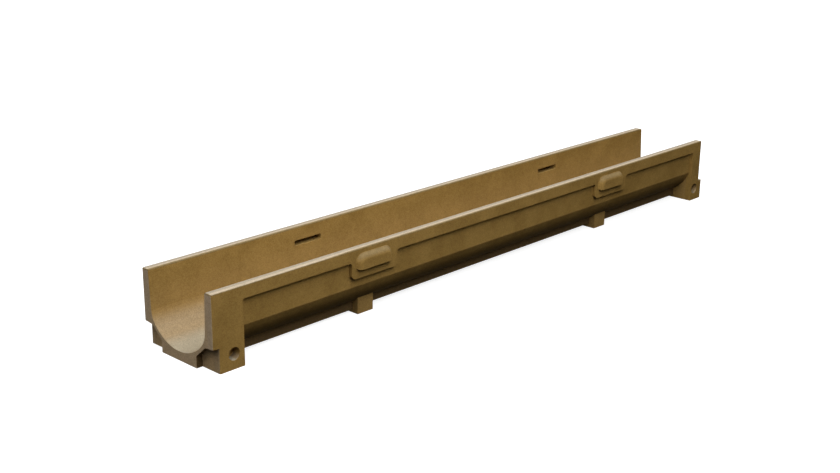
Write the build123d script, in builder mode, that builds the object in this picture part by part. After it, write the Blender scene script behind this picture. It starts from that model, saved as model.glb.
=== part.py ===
from build123d import *
import os
from math import sqrt

# Channel drain body: one trough cast in resin-bound sand, 1 m long when laid.
# +X runs along the water's way, from the rebated end to the end with the toes.
# +Y is across the trough and +Z is up. The origin is on the ground plane, halfway along the casting.
# All lengths are in millimetres and all angles in degrees.

# Overall sizes
laying_length = 1000.0
overall_width = 129.0
overall_height = 97.0

# Trough, open at the top and at both ends
mouth_width = 105.5
wall_foot_width = 100.0
floor_height = 11.5
floor_radius = 59.0
floor_corner_radius = 28.0
lip_radius = 1.5

# Walls between the end frames
panel_recess = 5.0
rim_height = 16.0
crease_height = 47.0
haunch_thickness = 5.0
keel_width = 65.0
keel_lift = 4.1
middle_keel_lift = 6.2

# End frames, as wide and as high as the whole casting
near_frame_length = 44.0
far_frame_length = 23.0
corner_radius = 1.8

# Overlapping joint between two channels
rebate_depth = 8.5
rebate_throat_height = 15.0
shoulder_height = 31.5
shoulder_fall = 1.3
joint_clearance = 1.0
toe_length = 8.0

# Cross feet under the haunches
foot_from_near_end = 256.0
foot_pitch = 500.0
foot_length = 26.5
foot_span = 84.0

# Blind sockets in the outer faces of the end frames
socket_diameter = 16.0
socket_depth = 12.0
socket_height = 19.0
socket_from_tip = 20.5

# Grating locks: a plate and a boss outside each wall, with a slot on the inside
lock_from_near_end = 251.0
lock_pitch = 497.0
plate_length = 78.0
plate_drop = 22.0
plate_corner_radius = 6.0
plate_blend_radius = 3.5
boss_length = 61.0
boss_height = 21.5
boss_upper_radius = 12.0
boss_lower_radius = 7.0
boss_below_top = 6.1
boss_from_lock_middle = 2.0
boss_projection = 6.0
boss_draft = 38.0
boss_lower_draft = 15.0
boss_edge_radius = 7.5
slot_length = 45.0
slot_height = 7.2
slot_below_top = 17.3
slot_from_lock_middle = 6.5
slot_corner_radius = 2.0
slot_cover = 7.0

# Places worked out from the sizes
casting_length = laying_length + toe_length
near_end = -casting_length / 2
far_end = near_end + laying_length
half_width = overall_width / 2
panel_face = half_width - panel_recess
rim_underside = overall_height - rim_height
floor_centre_height = floor_height + floor_radius
haunch_radius = floor_radius + haunch_thickness
lock_stations = [near_end + lock_from_near_end + index * lock_pitch for index in range(2)]
socket_stations = (near_end + rebate_depth + socket_from_tip, far_end + toe_length - socket_from_tip)
boss_stations = [station - boss_from_lock_middle for station in lock_stations]
slot_stations = [station - slot_from_lock_middle for station in lock_stations]
foot_stations = [near_end + foot_from_near_end + index * foot_pitch for index in range(2)]
sides = (-1, 1)

# How closely an edge has to lie to a place to be picked there
match_tolerance = 0.01

# How far a cutting shape stands clear of the shape it cuts
cut_clearance = 1.0


def height_on_arc(radius, across):
    """Height of the lower half of an arc about the floor's centre line, at a distance from the middle."""
    return floor_centre_height - sqrt(radius**2 - across**2)


def is_at(place, target):
    """Whether a measured place is the target, within what rounding leaves."""
    return abs(place - target) < match_tolerance


def wall_plane(side, across):
    """Plane on one long side that faces outwards, with its own y along +Z."""
    return Plane(origin=(0, side * across, 0), x_dir=(-side, 0, 0), z_dir=(0, side, 0))


def cross_section(along):
    """Plane across the trough that faces +X, with its own x along +Y."""
    return Plane.YZ.offset(along)


def body_section():
    """Walls, round haunches and keel as one outline, with the trough still filled in."""
    keel_half = keel_width / 2
    keel_top = height_on_arc(haunch_radius, keel_half)
    with BuildSketch() as section:
        with BuildLine():
            Polyline((0, overall_height), (0, keel_lift), (keel_half, keel_lift), (keel_half, keel_top))
            haunch = RadiusArc((keel_half, keel_top), (panel_face, crease_height), -haunch_radius)
            Polyline(haunch @ 1, (panel_face, overall_height), (0, overall_height))
        make_face()
        mirror(about=Plane.YZ)
    return section.sketch


def trough_section():
    """Clear opening of the trough: leaning walls and a round floor, with eased corners between them."""
    mouth_half = mouth_width / 2
    foot_half = wall_foot_width / 2
    corner_height = height_on_arc(floor_radius, foot_half)
    with BuildSketch() as section:
        with BuildLine():
            floor = ThreePointArc((-foot_half, corner_height), (0, floor_height), (foot_half, corner_height))
            Polyline(floor @ 1, (mouth_half, overall_height), (-mouth_half, overall_height), floor @ 0)
        make_face()
        fillet(section.vertices().group_by(Axis.Y)[0], radius=floor_corner_radius)
    return section.sketch


def rebate_section(side):
    """Space under one shoulder of the near end, drawn past the casting's outline by the joint clearance."""
    tongue_half = keel_width / 2
    shoulder_foot = shoulder_height - shoulder_fall
    throat = sqrt(haunch_radius**2 - (floor_centre_height - shoulder_foot) ** 2)
    outer = half_width + joint_clearance
    rise = shoulder_fall * joint_clearance / (half_width - throat)
    points = [
        (tongue_half, -joint_clearance),
        (tongue_half, rebate_throat_height),
        (throat, shoulder_foot),
        (outer, shoulder_height + rise),
        (outer, -joint_clearance),
    ]
    with BuildSketch() as section:
        with BuildLine():
            Polyline([(side * across, height) for across, height in points], close=True)
        make_face()
    return section.sketch


def cushion_boss():
    """One boss on the XY plane, with +Y up the wall: rounded like a cushion, but steep and sharp below."""
    with BuildPart() as boss:
        with BuildSketch():
            with Locations((0, boss_height / 2)):
                cushion = Rectangle(boss_length, 2 * boss_height, align=(Align.CENTER, Align.MAX))
            fillet(cushion.vertices().group_by(Axis.Y)[-1], radius=boss_upper_radius)
        extrude(amount=boss_projection, taper=boss_draft)
        fillet(boss.faces().sort_by(Axis.Z)[-1].edges(), radius=boss_edge_radius)

        with BuildSketch():
            with Locations((0, -boss_height / 2)):
                lower = Rectangle(
                    boss_length + 2 * cut_clearance, boss_height + cut_clearance, align=(Align.CENTER, Align.MIN)
                )
            fillet(lower.vertices().group_by(Axis.Y)[0], radius=boss_lower_radius)
        extrude(amount=boss_projection + cut_clearance, taper=boss_lower_draft, mode=Mode.INTERSECT)
    return boss.part


with BuildPart() as channel_body:
    # Walls, haunches and keel along the whole laying length
    with BuildSketch(cross_section(near_end)):
        add(body_section())
    extrude(amount=laying_length)

    # Rim that brings the tops of both walls out to the full width
    with BuildSketch(Plane.XY.offset(rim_underside)):
        with Locations(((near_end + far_end) / 2, 0)):
            Rectangle(laying_length, overall_width)
    extrude(amount=rim_height)

    # End frames
    with BuildSketch(Plane.XY):
        with Locations((near_end, 0)):
            Rectangle(near_frame_length, overall_width, align=(Align.MIN, Align.CENTER))
        with Locations((far_end, 0)):
            Rectangle(far_frame_length, overall_width, align=(Align.MAX, Align.CENTER))
    extrude(amount=overall_height)

    # Shallower keel between the two cross feet
    with BuildSketch(Plane.XY):
        with Locations((sum(foot_stations) / 2, 0)):
            Rectangle(foot_pitch, keel_width)
    extrude(amount=middle_keel_lift, mode=Mode.SUBTRACT)

    # Cross feet, which run under the keel and stop against the haunches
    with BuildSketch(Plane.XY):
        with Locations([(station, 0) for station in foot_stations]):
            Rectangle(foot_length, foot_span)
    extrude(amount=height_on_arc(floor_radius, foot_span / 2 - haunch_thickness))

    # Rebates at the near end, which take the toes of the next channel
    for side in sides:
        with BuildSketch(cross_section(near_end)):
            add(rebate_section(side))
        extrude(amount=rebate_depth, mode=Mode.SUBTRACT)

    # Toes at the far end: the same outline, smaller by the joint clearance
    for side in sides:
        with BuildSketch(cross_section(far_end)):
            add(rebate_section(side))
            offset(amount=-joint_clearance, kind=Kind.INTERSECTION)
        extrude(amount=toe_length)

    # Upright corners of both end frames and of the toes
    upright = channel_body.edges().filter_by(Axis.Z)
    end_stations = (near_end, near_end + rebate_depth, far_end, far_end + toe_length)
    outer_upright = upright.filter_by(lambda edge: is_at(abs(edge.center().Y), half_width))
    corners = outer_upright.filter_by(lambda edge: any(is_at(edge.center().X, place) for place in end_stations))
    fillet(corners, radius=corner_radius)

    # Lock plates on both walls, flush with the rim and blended into its underside
    plate_top = rim_underside + rim_height / 2
    plate_bottom = rim_underside - plate_drop
    for side in sides:
        with BuildSketch(wall_plane(side, half_width)):
            with Locations([(-side * station, (plate_top + plate_bottom) / 2) for station in lock_stations]):
                RectangleRounded(plate_length, plate_top - plate_bottom, plate_corner_radius)
        extrude(amount=-panel_recess)
    across_edges = channel_body.edges().filter_by(Axis.Y).filter_by(lambda edge: is_at(edge.center().Z, rim_underside))
    plate_ends = [station + end * plate_length / 2 for station in lock_stations for end in (-1, 1)]
    plate_roots = across_edges.filter_by(lambda edge: any(is_at(edge.center().X, place) for place in plate_ends))
    fillet(plate_roots, radius=plate_blend_radius)

    # Bosses on the plates
    boss = cushion_boss()
    boss_middle = overall_height - boss_below_top - boss_height / 2
    for side in sides:
        with Locations(wall_plane(side, half_width)):
            with Locations([(-side * station, boss_middle) for station in boss_stations]):
                add(boss)

    # Trough, cut through everything from end to end
    with BuildSketch(cross_section(near_end)):
        add(trough_section())
    extrude(amount=casting_length, mode=Mode.SUBTRACT)

    # Slots on the inside that take the grating's locking pieces
    slot_back = half_width + boss_projection - slot_cover
    slot_middle = overall_height - slot_below_top - slot_height / 2
    for side in sides:
        with BuildSketch(wall_plane(side, slot_back)):
            with Locations([(-side * station, slot_middle) for station in slot_stations]):
                RectangleRounded(slot_length, slot_height, slot_corner_radius)
        extrude(amount=wall_foot_width / 2 - slot_back, mode=Mode.SUBTRACT)

    # Blind sockets near the tips of the end frames
    for side in sides:
        with BuildSketch(wall_plane(side, half_width)):
            with Locations([(-side * station, socket_height) for station in socket_stations]):
                Circle(socket_diameter / 2)
        extrude(amount=-socket_depth, mode=Mode.SUBTRACT)

    # Eased edges all round the flat tops of both walls
    wall_tops = channel_body.faces().filter_by(Axis.Z).group_by(Axis.Z)[-1]
    fillet(wall_tops.edges(), radius=lip_radius)

channel_body.part.label = "channel_body"

os.makedirs("parts", exist_ok=True)
export_step(channel_body.part, "parts/channel_body.step")
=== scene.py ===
# Dresses the channel drain: one trough cast in resin-bound sand, on a pale floor in soft light.
# Lengths are in metres and angles in radians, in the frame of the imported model: +X runs along the
# trough from the rebated end to the end with the toes, +Y runs across it and +Z is up. The wall on
# the -Y side is called the near wall.
from math import radians

import bpy
from bpy.props import FloatProperty, FloatVectorProperty, PointerProperty
from mathutils import Matrix, Vector


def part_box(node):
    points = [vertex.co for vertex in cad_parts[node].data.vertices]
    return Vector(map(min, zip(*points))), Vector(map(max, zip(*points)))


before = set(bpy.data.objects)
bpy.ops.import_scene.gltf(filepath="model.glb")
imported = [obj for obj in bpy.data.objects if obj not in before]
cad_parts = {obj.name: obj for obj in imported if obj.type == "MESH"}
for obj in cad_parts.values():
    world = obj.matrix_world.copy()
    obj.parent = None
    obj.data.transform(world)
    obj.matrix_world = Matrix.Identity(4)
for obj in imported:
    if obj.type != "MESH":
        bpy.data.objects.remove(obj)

bl_info = {
    "name": "Channel drain",
    "version": (1, 0, 0),
    "blender": (4, 5, 0),
    "location": "View3D > Sidebar > Channel Drain",
    "description": "Gives a cast channel drain its sandy finish, stage, lamps and camera",
    "category": "Object",
}

CASTING = "channel_body"
CASTING_LOW, CASTING_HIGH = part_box(CASTING)
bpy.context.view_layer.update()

# Where the outer faces of the walls lie, across the casting
WALL_OUTSIDE = 0.0645

# Each pair below is a fade: the tone begins at the first value and is complete at the second.
# Rise is the upward part of the way a surface faces: 1 faces up, 0 is upright, -1 faces down.
# Sideways and endways are the parts of it across and along the casting, from 0 to 1.

# Blotches of thinner resin, in the cloudy noise
RESIN_FADE = (0.35, 0.65)

# Painted shade on undersides, on what faces down
SHADED_UNDERSIDE_RISE = (-0.35, -0.8)

# Painted shade on the sides of the keel, under the haunch and close to the ground
SHADED_KEEL_ACROSS = (0.037, 0.035)
SHADED_KEEL_HEIGHT = (0.017, 0.014)
SHADED_KEEL_SIDEWAYS = (0.6, 0.8)

# End faces
END_ALONG = (0.485, 0.503)
END_ENDWAYS = (0.7, 0.95)

# Painted bounce light, a lighter and warmer tone: nearer the middle than the outer faces of the
# walls, more of it lower down, and none on what faces down. The feet, the keel's sides and the
# middle of the end faces lie there too.
BOUNCE_LIGHT_ACROSS = (0.056, 0.054)
BOUNCE_LIGHT_HEIGHT = (0.095, 0.045)
BOUNCE_LIGHT_RISE = (-0.35, -0.15)

# Dust and painted sheen low in the trough, on what faces up, and greyer silt with painted sheen
# where that is level
DUST_AND_SHEEN_HEIGHT = (0.075, 0.055)
UPWARD_RISE = (0.02, 0.75)
SILT_RISE = (0.85, 0.995)

# Painted shade, darker and greyer, on the eased edges: how deep below the wall tops the lips lie,
# and how far beyond the outer faces of the walls the bosses begin
SHADED_LIP_DEPTH = (0.0018, 0.0012)
SHADED_BOSS_BEYOND_WALL = (-0.0005, 0.001)

# Pale strips on the wall tops, partly rubbed wear and partly painted sheen: depth below the tops,
# distance of their middles from the middle of the casting, shift of both strips towards +Y, half
# width, and the width of their soft edges
STRIP_DEPTH = (0.0006, 0.0001)
STRIP_MIDDLE = 0.0587
STRIP_SHIFT = 0.0016
STRIP_HALF_WIDTH = 0.0055
STRIP_SOFTNESS = 0.0018

# Where the palest sand and strongest painted sheen lie, from the middle of each strip towards -Y
PALEST_OFF_MIDDLE = (-0.001, -0.0032)

# The strip on the near wall is wider all along, and grows more towards the rebated end
NEAR_STRIP_EXTRA = 0.0002
NEAR_STRIP_GROWTH = 0.0040
NEAR_STRIP_ALONG = (-0.28, -0.42)

# Noise: how finely blotches and clouds are broken up, and how many clouds span one blotch
BLOTCH_DETAIL = 4.0
CLOUD_DETAIL = 3.0
NOISE_ROUGHNESS = 0.55
CLOUDS_PER_BLOTCH = 6

# Light and dark of single grains, and of clouds of them: the least tone and its spread above that
TONE_LEAST = 0.85
TONE_SPREAD = 0.30

# Surface of the sand
SAND_ROUGHNESS = 0.8
SAND_SHINE = 0.01
RELIEF_STRENGTH = 0.6

# Floor: what the camera sees, what light bounces off, and the glow that brings the floor to white,
# which grows with distance from the casting
FLOOR_SEEN = (0.4, 0.4, 0.4, 1)
FLOOR_BOUNCED = (0.012, 0.012, 0.012, 1)
GLOW_LEAST = 0.84
GLOW_SPREAD = 0.16
GLOW_DISTANCE = (0.7, 1.8)
WHITE = (1, 1, 1, 1)

# Softboxes: name, place, width and depth, and the setting that holds the power
SOFTBOXES = (
    ("softbox_top", (0.55, 0.0, 2.2), (1.2, 1.2), "top_power"),
    ("softbox_front", (-0.35, -1.0, 1.3), (1.0, 1.2), "front_power"),
    ("softbox_end", (-1.3, -0.1, 1.8), (1.2, 1.2), "end_power"),
    ("softbox_back", (1.5, 1.3, 0.8), (1.2, 0.8), "back_power"),
    ("softbox_fill", (-1.6, -1.0, 1.15), (0.9, 0.6), "fill_power"),
)

# Camera: width of the sensor in millimetres, and the farthest distance that it shows
SENSOR_WIDTH = 36.0
FARTHEST_SHOWN = 100.0


class CastSandSettings(bpy.types.PropertyGroup):
    """Colours and sizes of the cast sand."""

    resin_colour: FloatVectorProperty(
        name="Resin",
        description="Sand wetted by the resin, on the walls",
        subtype="COLOR", size=4, min=0, max=1, default=(0.315, 0.192, 0.055, 1),
    )
    deep_colour: FloatVectorProperty(
        name="Deep resin",
        description="Darker blotches where the resin lies thicker",
        subtype="COLOR", size=4, min=0, max=1, default=(0.265, 0.160, 0.044, 1),
    )
    # Painted shade: darker sand on what faces down, where the overhang keeps the light off
    underside_shade_colour: FloatVectorProperty(
        name="Underside",
        description="Sand that hangs over the ground and stays damp",
        subtype="COLOR", size=4, min=0, max=1, default=(0.060, 0.037, 0.012, 1),
    )
    # Painted shade: the darkest tone, on the sides of the keel under the haunch
    keel_shade_colour: FloatVectorProperty(
        name="Keel",
        description="Darkest sand, on the sides of the keel close to the ground",
        subtype="COLOR", size=4, min=0, max=1, default=(0.036, 0.022, 0.008, 1),
    )
    # Partly dust, partly painted sheen: paler tones on what faces up low in the trough
    dust_and_sheen_colour: FloatVectorProperty(
        name="Dust",
        description="Pale sand dust in the bottom of the trough",
        subtype="COLOR", size=4, min=0, max=1, default=(0.295, 0.215, 0.121, 1),
    )
    silt_and_sheen_colour: FloatVectorProperty(
        name="Silt",
        description="Greyer dust along the lowest part of the trough",
        subtype="COLOR", size=4, min=0, max=1, default=(0.325, 0.278, 0.196, 1),
    )
    # Painted shade: a darker, greyer tone on the lips and on the upper slopes of the bosses
    lip_and_slope_shade_colour: FloatVectorProperty(
        name="Eased edges",
        description="Sand on the lips of the walls and the slopes of the bosses",
        subtype="COLOR", size=4, min=0, max=1, default=(0.205, 0.145, 0.066, 1),
    )
    # Partly rubbed wear, partly painted sheen: paler tones on the wall tops
    rubbed_and_sheen_colour: FloatVectorProperty(
        name="Rubbed",
        description="Bare sand on the rubbed tops of the walls",
        subtype="COLOR", size=4, min=0, max=1, default=(0.300, 0.254, 0.190, 1),
    )
    # Palest tone, with the strongest painted sheen
    worn_and_sheen_colour: FloatVectorProperty(
        name="Worn",
        description="Palest sand, on the half of each rubbed strip towards -Y",
        subtype="COLOR", size=4, min=0, max=1, default=(0.400, 0.331, 0.240, 1),
    )
    # Painted bounce light: a lighter, warmer tone on the inner walls, more of it lower down
    inner_bounce_light_colour: FloatVectorProperty(
        name="Dry inside",
        description="Drier sand on the inner walls, the feet and the lower parts of the end faces",
        subtype="COLOR", size=4, min=0, max=1, default=(0.49, 0.315, 0.134, 1),
    )
    # Share of the painted bounce light where there is most of it
    inner_bounce_light_share: FloatProperty(
        name="Dryness",
        description="Share of the drier sand where there is most of it",
        subtype="FACTOR", min=0, max=1, default=0.20,
    )
    ground_colour: FloatVectorProperty(
        name="Ground ends",
        description="Greyer sand on the end faces, where the mould was shut off",
        subtype="COLOR", size=4, min=0, max=1, default=(0.42, 0.315, 0.205, 1),
    )
    grain_size: FloatProperty(
        name="Grain",
        description="Width of one grain of sand",
        unit="LENGTH", default=0.0009, precision=5,
    )
    blotch_size: FloatProperty(
        name="Blotches",
        description="Width of the cloudy blotches",
        unit="LENGTH", default=0.035,
    )
    grain_relief: FloatProperty(
        name="Grain relief",
        description="How far the grains stand out",
        unit="LENGTH", default=0.00012, precision=6,
    )


class StudioSettings(bpy.types.PropertyGroup):
    """Floor, lamps and camera."""

    floor_size: FloatProperty(
        name="Floor",
        description="Length of each side of the floor",
        unit="LENGTH", default=24.0,
    )
    sky_level: FloatProperty(
        name="Sky",
        description="Strength of the soft light from all round above, greatest straight above",
        default=0.12,
    )
    top_power: FloatProperty(
        name="Top softbox",
        description="Power of the lamp high above the half with the toes",
        subtype="POWER", default=27.0,
    )
    front_power: FloatProperty(
        name="Front softbox",
        description="Power of the lamp in front of the near wall",
        subtype="POWER", default=19.4,
    )
    fill_power: FloatProperty(
        name="Fill",
        description="Power of the weak lamp before the rebated end",
        subtype="POWER", default=5.6,
    )
    end_power: FloatProperty(
        name="End softbox",
        description="Power of the lamp high beyond the rebated end",
        subtype="POWER", default=21.5,
    )
    back_power: FloatProperty(
        name="Back softbox",
        description="Power of the lamp behind the end with the toes",
        subtype="POWER", default=20.0,
    )
    camera_place: FloatVectorProperty(
        name="Camera place",
        description="Where the camera stands",
        subtype="TRANSLATION", unit="LENGTH", default=(-1.29213, -1.11624, 0.59457),
    )
    camera_azimuth: FloatProperty(
        name="Azimuth",
        description="Turn of the view from +Y towards +X",
        subtype="ANGLE", default=radians(46.783),
    )
    camera_dip: FloatProperty(
        name="Dip",
        description="How far the view looks down",
        subtype="ANGLE", default=radians(18.263),
    )
    camera_roll: FloatProperty(
        name="Roll",
        description="Turn of the camera about its view",
        subtype="ANGLE", default=radians(0.694),
    )
    camera_lens: FloatProperty(
        name="Lens",
        description="Focal length in millimetres, on the sensor of 36 mm",
        subtype="DISTANCE_CAMERA", default=54.557,
    )


class NodeBench:
    """A few short calls for building a node tree."""

    def __init__(self, tree):
        self.tree = tree
        tree.nodes.clear()

    def put(self, kind, values=(), **settings):
        """Add a node, set its attributes, and plug or set its inputs."""
        node = self.tree.nodes.new(kind)
        for name, value in settings.items():
            setattr(node, name, value)
        for socket, value in dict(values).items():
            self.feed(node.inputs[socket], value)
        return node

    def feed(self, socket, value):
        """Plug a socket into an input, or set the input's own value."""
        if isinstance(value, bpy.types.NodeSocket):
            self.tree.links.new(value, socket)
        else:
            socket.default_value = value

    def split(self, vector):
        """The three parts of a vector."""
        return self.put("ShaderNodeSeparateXYZ", {"Vector": vector}).outputs

    def maths(self, operation, first, second=0.0):
        """One step of arithmetic on one or two numbers."""
        return self.put("ShaderNodeMath", {0: first, 1: second}, operation=operation).outputs[0]

    def scale_and_shift(self, value, scale, shift):
        """A number times a scale, plus a shift."""
        node = self.put("ShaderNodeMath", {0: value, 1: scale, 2: shift}, operation="MULTIPLY_ADD")
        return node.outputs[0]

    def all_of(self, share, *others):
        """Share of a point where several shares hold together."""
        for other in others:
            share = self.maths("MULTIPLY", share, other)
        return share

    def ramp(self, value, low, high):
        """Smooth step from 0 at the low value to 1 at the high value."""
        node = self.put(
            "ShaderNodeMapRange", {"Value": value, "From Min": low, "From Max": high},
            interpolation_type="SMOOTHSTEP", clamp=True,
        )
        return node.outputs["Result"]

    def mix(self, share, first, second, blend="MIX"):
        """Blend two colours by a share from 0 to 1."""
        node = self.put("ShaderNodeMix", data_type="RGBA", blend_type=blend)
        self.feed(node.inputs["Factor"], share)
        colours = [socket for socket in node.inputs if socket.type == "RGBA"]
        self.feed(colours[0], first)
        self.feed(colours[1], second)
        return [socket for socket in node.outputs if socket.type == "RGBA"][0]

    def noise(self, place, width, detail):
        """Cloudy noise whose blotches are about as wide as stated, from 0 to 1."""
        node = self.put(
            "ShaderNodeTexNoise",
            {"Vector": place, "Scale": 1 / width, "Detail": detail, "Roughness": NOISE_ROUGHNESS},
        )
        return node.outputs["Fac"]

    def seen(self):
        """1 for rays of the camera, of reflections and through glass, 0 for rays of light."""
        rays = self.put("ShaderNodeLightPath").outputs
        seen = self.maths("MAXIMUM", rays["Is Camera Ray"], rays["Is Glossy Ray"])
        return self.maths("MAXIMUM", seen, rays["Is Transmission Ray"])


class SurfacePoint:
    """Sockets that say where a point of the casting lies and which way its surface faces."""

    def __init__(self, bench):
        coordinates = bench.put("ShaderNodeTexCoord")
        self.place = coordinates.outputs["Object"]
        self.along, self.off_centre, self.height = bench.split(self.place)
        self.across = bench.maths("ABSOLUTE", self.off_centre)
        facing_along, facing_across, self.rise = bench.split(coordinates.outputs["Normal"])
        self.endways = bench.maths("ABSOLUTE", facing_along)
        self.sideways = bench.maths("ABSOLUTE", facing_across)
        self.upward = bench.ramp(self.rise, *UPWARD_RISE)


def mottled_walls(bench, point, look):
    """Mottled sand, with painted shade beneath and on the sides of the keel, and greyer on the end
    faces.
    """
    blotches = bench.noise(point.place, look.blotch_size, BLOTCH_DETAIL)
    base = bench.mix(bench.ramp(blotches, *RESIN_FADE), look.deep_colour, look.resin_colour)
    # Painted shade on what faces down
    base = bench.mix(bench.ramp(point.rise, *SHADED_UNDERSIDE_RISE), base, look.underside_shade_colour)

    # Painted shade on the sides of the keel
    keel_shade = bench.all_of(
        bench.ramp(point.across, *SHADED_KEEL_ACROSS),
        bench.ramp(point.height, *SHADED_KEEL_HEIGHT),
        bench.ramp(point.sideways, *SHADED_KEEL_SIDEWAYS),
    )
    base = bench.mix(keel_shade, base, look.keel_shade_colour)

    end_face = bench.all_of(
        bench.ramp(point.endways, *END_ENDWAYS),
        bench.ramp(bench.maths("ABSOLUTE", point.along), *END_ALONG),
    )
    return bench.mix(end_face, base, look.ground_colour)


def bounce_light_dust_and_sheen_trough(bench, point, look, base):
    """Painted bounce light inside, under dust and silt with painted sheen on what faces up low in
    the trough.
    """
    # Painted bounce light, lighter lower in the trough
    bounce_light = bench.all_of(
        bench.ramp(point.across, *BOUNCE_LIGHT_ACROSS),
        bench.ramp(point.height, *BOUNCE_LIGHT_HEIGHT),
        bench.ramp(point.rise, *BOUNCE_LIGHT_RISE),
        look.inner_bounce_light_share,
    )
    base = bench.mix(bounce_light, base, look.inner_bounce_light_colour)
    # Paler on what faces up low in the trough: partly dust, partly painted sheen
    settled_and_sheen = bench.mix(bench.ramp(point.rise, *SILT_RISE), look.dust_and_sheen_colour, look.silt_and_sheen_colour)
    dust_and_sheen = bench.all_of(point.upward, bench.ramp(point.height, *DUST_AND_SHEEN_HEIGHT))
    return bench.mix(dust_and_sheen, base, settled_and_sheen)


def shaded_lips_and_boss_slopes(bench, point, look, base):
    """Painted shade, darker and greyer, on the lips along the wall tops and on the upper slopes of
    the bosses.
    """
    lip_heights = [CASTING_HIGH.z - depth for depth in SHADED_LIP_DEPTH]
    boss_places = [WALL_OUTSIDE + beyond for beyond in SHADED_BOSS_BEYOND_WALL]
    shaded_lip = bench.ramp(point.height, *lip_heights)
    shaded_boss_slope = bench.all_of(bench.ramp(point.across, *boss_places), point.upward)
    return bench.mix(bench.maths("MAXIMUM", shaded_lip, shaded_boss_slope), base, look.lip_and_slope_shade_colour)


def rubbed_and_sheen_tops(bench, point, look, base):
    """Pale strips along the wall tops, partly rubbed wear and partly painted sheen, the one on the
    near wall wider towards the rebated end.
    """
    # Paler tops: partly rubbed wear, partly painted sheen
    middle = bench.maths("SIGN", point.off_centre)
    middle = bench.scale_and_shift(middle, STRIP_MIDDLE, STRIP_SHIFT)
    off_middle = bench.maths("SUBTRACT", point.off_centre, middle)
    palest = bench.ramp(off_middle, *PALEST_OFF_MIDDLE)
    strip = bench.mix(palest, look.rubbed_and_sheen_colour, look.worn_and_sheen_colour)

    growth = bench.ramp(point.along, *NEAR_STRIP_ALONG)
    growth = bench.scale_and_shift(growth, NEAR_STRIP_GROWTH, NEAR_STRIP_EXTRA)
    on_near_wall = bench.maths("LESS_THAN", point.off_centre, 0.0)
    from_middle = bench.maths("ABSOLUTE", off_middle)
    from_middle = bench.maths("SUBTRACT", from_middle, bench.all_of(on_near_wall, growth))
    soft_edge = (STRIP_HALF_WIDTH + STRIP_SOFTNESS / 2, STRIP_HALF_WIDTH - STRIP_SOFTNESS / 2)

    top_heights = [CASTING_HIGH.z - depth for depth in STRIP_DEPTH]
    on_top = bench.ramp(point.height, *top_heights)
    return bench.mix(bench.all_of(on_top, bench.ramp(from_middle, *soft_edge)), base, strip)


def lighter_and_darker(bench, point, look, grains, base):
    """Tone that differs from grain to grain and from cloud to cloud."""
    clouds = bench.noise(point.place, look.blotch_size / CLOUDS_PER_BLOTCH, CLOUD_DETAIL)
    grain_tone = bench.split(grains.outputs["Color"])[0]
    tone = bench.all_of(
        bench.scale_and_shift(grain_tone, TONE_SPREAD, TONE_LEAST),
        bench.scale_and_shift(clouds, TONE_SPREAD, TONE_LEAST),
    )
    shade = bench.put("ShaderNodeCombineXYZ", {"X": tone, "Y": tone, "Z": tone})
    return bench.mix(1.0, base, shade.outputs["Vector"], blend="MULTIPLY")


def new_material(name):
    """An empty material and the bench on which its nodes are put."""
    material = bpy.data.materials.new(name)
    material.use_nodes = True
    return material, NodeBench(material.node_tree)


def cast_sand_material(look):
    """Resin-bound sand: mottled brown, sandy close up, with painted shade and bounce light, and
    paler where dusty or rubbed and where sheen is painted.
    """
    material, bench = new_material("cast_sand_finish")
    point = SurfacePoint(bench)
    grains = bench.put(
        "ShaderNodeTexVoronoi", {"Vector": point.place, "Scale": 1 / look.grain_size},
    )
    base = mottled_walls(bench, point, look)
    base = bounce_light_dust_and_sheen_trough(bench, point, look, base)
    base = shaded_lips_and_boss_slopes(bench, point, look, base)
    base = rubbed_and_sheen_tops(bench, point, look, base)
    base = lighter_and_darker(bench, point, look, grains, base)

    relief = bench.maths("SUBTRACT", 1.0, grains.outputs["Distance"])
    bump = bench.put(
        "ShaderNodeBump",
        {"Height": relief, "Distance": look.grain_relief, "Strength": RELIEF_STRENGTH},
    )
    surface = bench.put(
        "ShaderNodeBsdfPrincipled",
        {
            "Base Color": base,
            "Roughness": SAND_ROUGHNESS,
            "Specular IOR Level": SAND_SHINE,
            "Normal": bump.outputs["Normal"],
        },
    )
    bench.put("ShaderNodeOutputMaterial", {"Surface": surface.outputs["BSDF"]})
    return material


def floor_material():
    """Pale floor that shows white, keeps the casting's shadow and is clear from below."""
    material, bench = new_material("pale_floor")
    place = bench.put("ShaderNodeTexCoord").outputs["Object"]
    distance = bench.put("ShaderNodeVectorMath", {0: place}, operation="LENGTH").outputs["Value"]
    strength = bench.ramp(distance, *GLOW_DISTANCE)
    strength = bench.scale_and_shift(strength, GLOW_SPREAD, GLOW_LEAST)
    glow = bench.put("ShaderNodeEmission", {"Color": WHITE, "Strength": strength})
    pale = bench.put("ShaderNodeBsdfDiffuse", {"Color": FLOOR_SEEN})
    shown = bench.put("ShaderNodeAddShader", {0: pale.outputs[0], 1: glow.outputs[0]})
    dark = bench.put("ShaderNodeBsdfDiffuse", {"Color": FLOOR_BOUNCED})
    above = bench.put(
        "ShaderNodeMixShader", {0: bench.seen(), 1: dark.outputs[0], 2: shown.outputs[0]},
    )
    beneath = bench.put("ShaderNodeNewGeometry").outputs["Backfacing"]
    clear = bench.put("ShaderNodeBsdfTransparent")
    surface = bench.put(
        "ShaderNodeMixShader", {0: beneath, 1: above.outputs[0], 2: clear.outputs[0]},
    )
    bench.put("ShaderNodeOutputMaterial", {"Surface": surface.outputs[0]})
    return material


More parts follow.
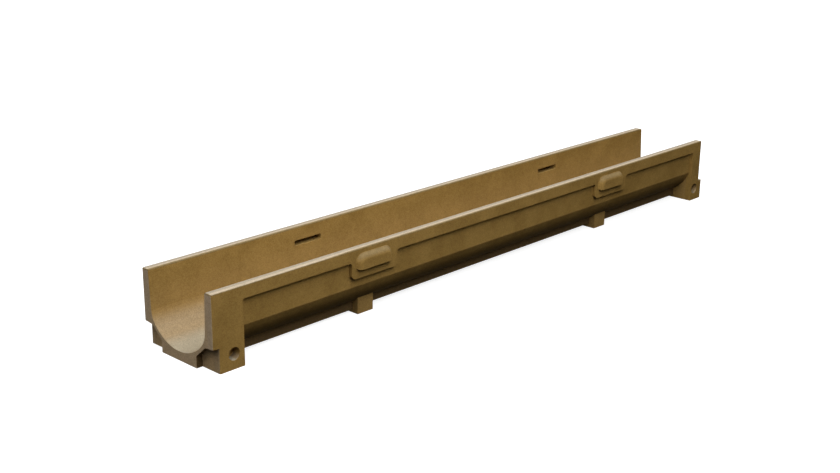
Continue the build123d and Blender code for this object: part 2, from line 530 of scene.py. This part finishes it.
def light_world(sky_level):
    """White surroundings for the camera and reflections, and a soft light from above."""
    world = bpy.data.worlds.new("studio_surroundings")
    world.use_nodes = True
    bench = NodeBench(world.node_tree)
    seen = bench.seen()
    direction = bench.put("ShaderNodeTexCoord").outputs["Generated"]
    rise = bench.split(direction)["Z"]
    sky_light = bench.maths("MULTIPLY", bench.maths("MAXIMUM", rise, 0.0), sky_level)
    unseen = bench.maths("SUBTRACT", 1.0, seen)
    strength = bench.maths("MAXIMUM", bench.all_of(sky_light, unseen), seen)
    sky = bench.put("ShaderNodeBackground", {"Color": WHITE, "Strength": strength})
    bench.put("ShaderNodeOutputWorld", {"Surface": sky.outputs[0]})
    bpy.context.scene.world = world


def add_softbox(name, place, target, size, power):
    """A rectangular lamp that points from its place at a target."""
    lamp = bpy.data.lights.new(name, "AREA")
    lamp.shape = "RECTANGLE"
    lamp.size, lamp.size_y = size
    lamp.energy = power
    holder = bpy.data.objects.new(name, lamp)
    holder.location = place
    holder.rotation_euler = (Vector(target) - Vector(place)).to_track_quat("-Z", "Y").to_euler()
    bpy.context.scene.collection.objects.link(holder)


class CHANNEL_OT_cast_sand(bpy.types.Operator):
    """Give the casting its finish of resin-bound sand"""

    bl_idname = "channel.cast_sand"
    bl_label = "Finish the casting"

    def execute(self, context):
        material = cast_sand_material(context.scene.cast_sand)
        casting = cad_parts[CASTING]
        for slot in casting.material_slots:
            slot.material = material
        return {"FINISHED"}


class CHANNEL_OT_stage(bpy.types.Operator):
    """Lay the floor under the casting and set up the surroundings"""

    bl_idname = "channel.stage"
    bl_label = "Lay the stage"

    def execute(self, context):
        half = context.scene.studio.floor_size / 2
        mesh = bpy.data.meshes.new("floor")
        corners = [(-half, -half, 0), (half, -half, 0), (half, half, 0), (-half, half, 0)]
        mesh.from_pydata(corners, [], [(0, 1, 2, 3)])
        mesh.materials.append(floor_material())
        floor = bpy.data.objects.new("floor", mesh)
        context.scene.collection.objects.link(floor)
        light_world(context.scene.studio.sky_level)
        return {"FINISHED"}


class CHANNEL_OT_lamps(bpy.types.Operator):
    """Hang four softboxes round the casting, and a weak one before its rebated end"""

    bl_idname = "channel.lamps"
    bl_label = "Hang the lamps"

    def execute(self, context):
        middle = (CASTING_LOW + CASTING_HIGH) / 2
        for name, place, size, setting in SOFTBOXES:
            add_softbox(name, place, middle, size, getattr(context.scene.studio, setting))
        return {"FINISHED"}


class CHANNEL_OT_camera(bpy.types.Operator):
    """Stand the camera where the casting is seen along its length from above its rebated end"""

    bl_idname = "channel.camera"
    bl_label = "Stand the camera"

    def execute(self, context):
        studio = context.scene.studio
        camera = bpy.data.cameras.new("camera")
        camera.sensor_width = SENSOR_WIDTH
        camera.lens = studio.camera_lens
        camera.clip_end = FARTHEST_SHOWN
        stand = bpy.data.objects.new("camera", camera)
        turn = Matrix.Rotation(-studio.camera_azimuth, 4, "Z")
        tilt = Matrix.Rotation(radians(90) - studio.camera_dip, 4, "X")
        roll = Matrix.Rotation(studio.camera_roll, 4, "Z")
        stand.matrix_world = Matrix.Translation(studio.camera_place) @ turn @ tilt @ roll
        context.scene.collection.objects.link(stand)
        context.scene.camera = stand
        return {"FINISHED"}


class CHANNEL_PT_sidebar(bpy.types.Panel):
    """Lists the steps that dress the channel drain"""

    bl_label = "Channel drain"
    bl_idname = "CHANNEL_PT_sidebar"
    bl_space_type = "VIEW_3D"
    bl_region_type = "UI"
    bl_category = "Channel Drain"

    def draw(self, context):
        for step in STEPS:
            self.layout.operator(step.bl_idname)


STEPS = (CHANNEL_OT_cast_sand, CHANNEL_OT_stage, CHANNEL_OT_lamps, CHANNEL_OT_camera)
CLASSES = (CastSandSettings, StudioSettings, *STEPS, CHANNEL_PT_sidebar)


def register():
    for item in CLASSES:
        bpy.utils.register_class(item)
    bpy.types.Scene.cast_sand = PointerProperty(type=CastSandSettings)
    bpy.types.Scene.studio = PointerProperty(type=StudioSettings)


def unregister():
    del bpy.types.Scene.studio
    del bpy.types.Scene.cast_sand
    for item in reversed(CLASSES):
        bpy.utils.unregister_class(item)


def main():
    """Dress the casting, lay the stage, hang the lamps and stand the camera."""
    register()
    bpy.ops.channel.cast_sand()
    bpy.ops.channel.stage()
    bpy.ops.channel.lamps()
    bpy.ops.channel.camera()
    bpy.context.scene.view_settings.view_transform = "Standard"


if __name__ == "__main__":
    main()
